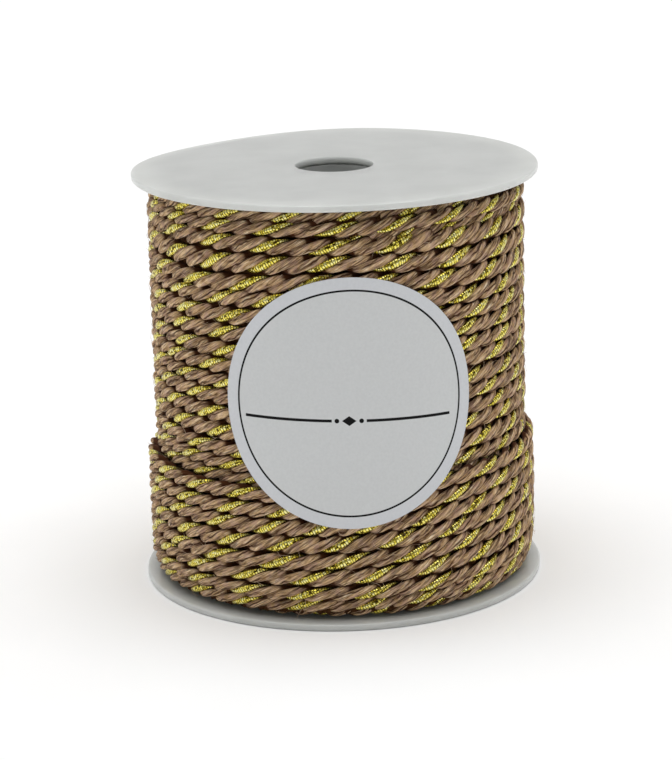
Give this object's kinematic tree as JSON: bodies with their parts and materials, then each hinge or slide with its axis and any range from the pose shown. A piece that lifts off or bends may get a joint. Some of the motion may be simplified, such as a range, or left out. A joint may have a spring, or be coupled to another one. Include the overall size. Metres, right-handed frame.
{
  "type": "twisted cord on a spool",
  "caption": "Three-ply twisted cord, two matt plies and one metallic ply, wound full on a flanged plastic spool with a round label.",
  "frame": {"origin": "on the spool's axis, level with the surface that the bottom flange stands on", "axes": "+Z along the spool's axis, up through the arbor hole; -Y towards the front, where the label is; +X to the right as seen from the front"},
  "size_m": [0.076, 0.076, 0.0788],
  "materials": {
    "twisted_cord": "matte",
    "milky_plastic": "satin",
    "label_paper": "matte"
  },
  "bodies": {
    "root": {"cord_winding": "twisted_cord", "top_flange": "milky_plastic", "bottom_flange": "milky_plastic", "barrel": "milky_plastic", "label": "label_paper"}
  },
  "joints": []
}
